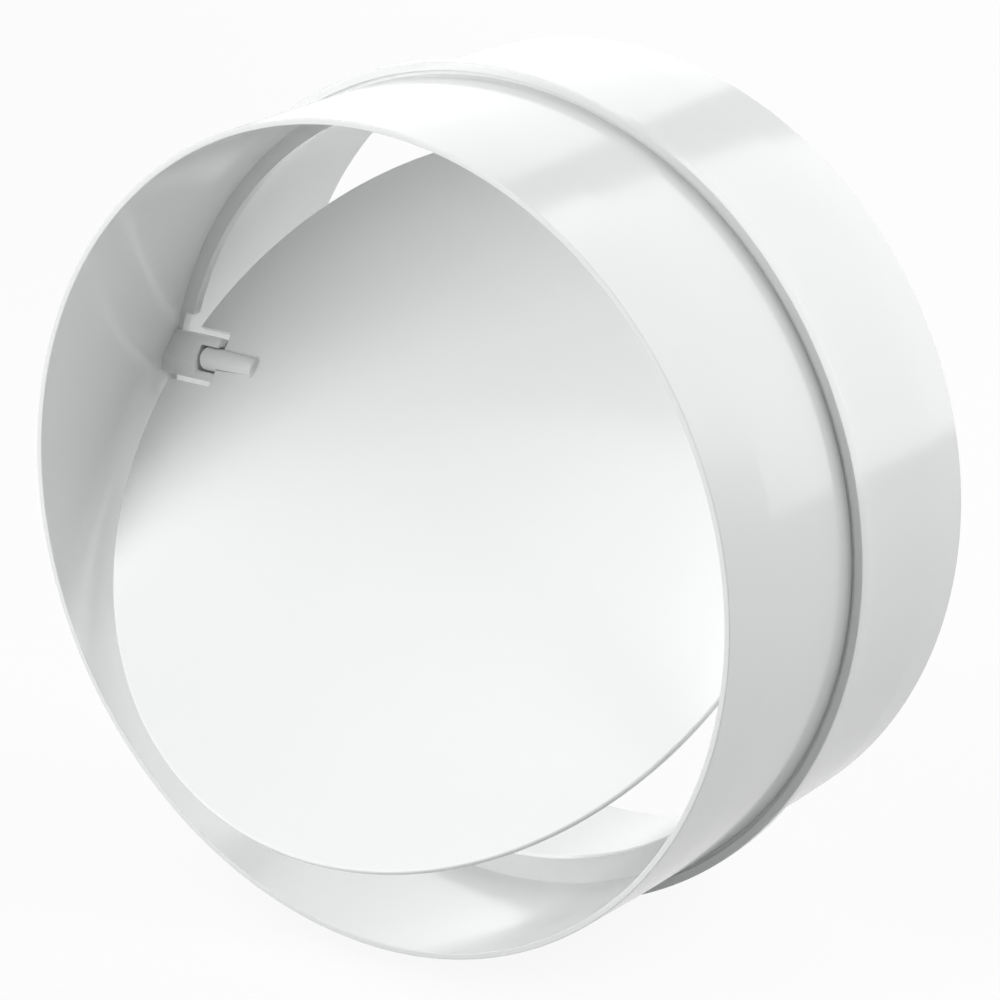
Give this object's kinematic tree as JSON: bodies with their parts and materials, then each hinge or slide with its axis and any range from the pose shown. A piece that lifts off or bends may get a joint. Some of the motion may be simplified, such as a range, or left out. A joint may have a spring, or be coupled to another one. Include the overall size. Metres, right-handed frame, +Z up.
{
  "type": "backdraft damper",
  "caption": "Short round duct connector with an outer stop rib and a gravity flap that turns on trunnions inside it.",
  "frame": {"origin": "on the duct axis, in the middle of the outer stop rib's width", "axes": "+Y along the duct from the front mouth to the rear mouth, +Z up, so that the flap's pivot axis is level, along X, above the duct axis"},
  "size_m": [0.154, 0.0919, 0.154],
  "materials": {
    "housing_plastic": "moulded white plastic, semi-gloss",
    "seat_plastic": "moulded white plastic, semi-gloss",
    "bearing_plastic": "moulded white plastic, semi-gloss",
    "flap_plastic": "moulded white plastic, satin"
  },
  "bodies": {
    "housing": {"housing": "housing_plastic", "seat_ring": "seat_plastic", "bearing_left": "bearing_plastic", "bearing_right": "bearing_plastic"},
    "flap": {"flap": "flap_plastic"}
  },
  "joints": [
    {"name": "flap_swing", "type": "hinge", "parent": "housing", "child": "flap", "pos_m": [0, -0.0029, 0.0134], "axis": [-1, 0, 0], "range_deg": [-38.9, 46.1]}
  ]
}
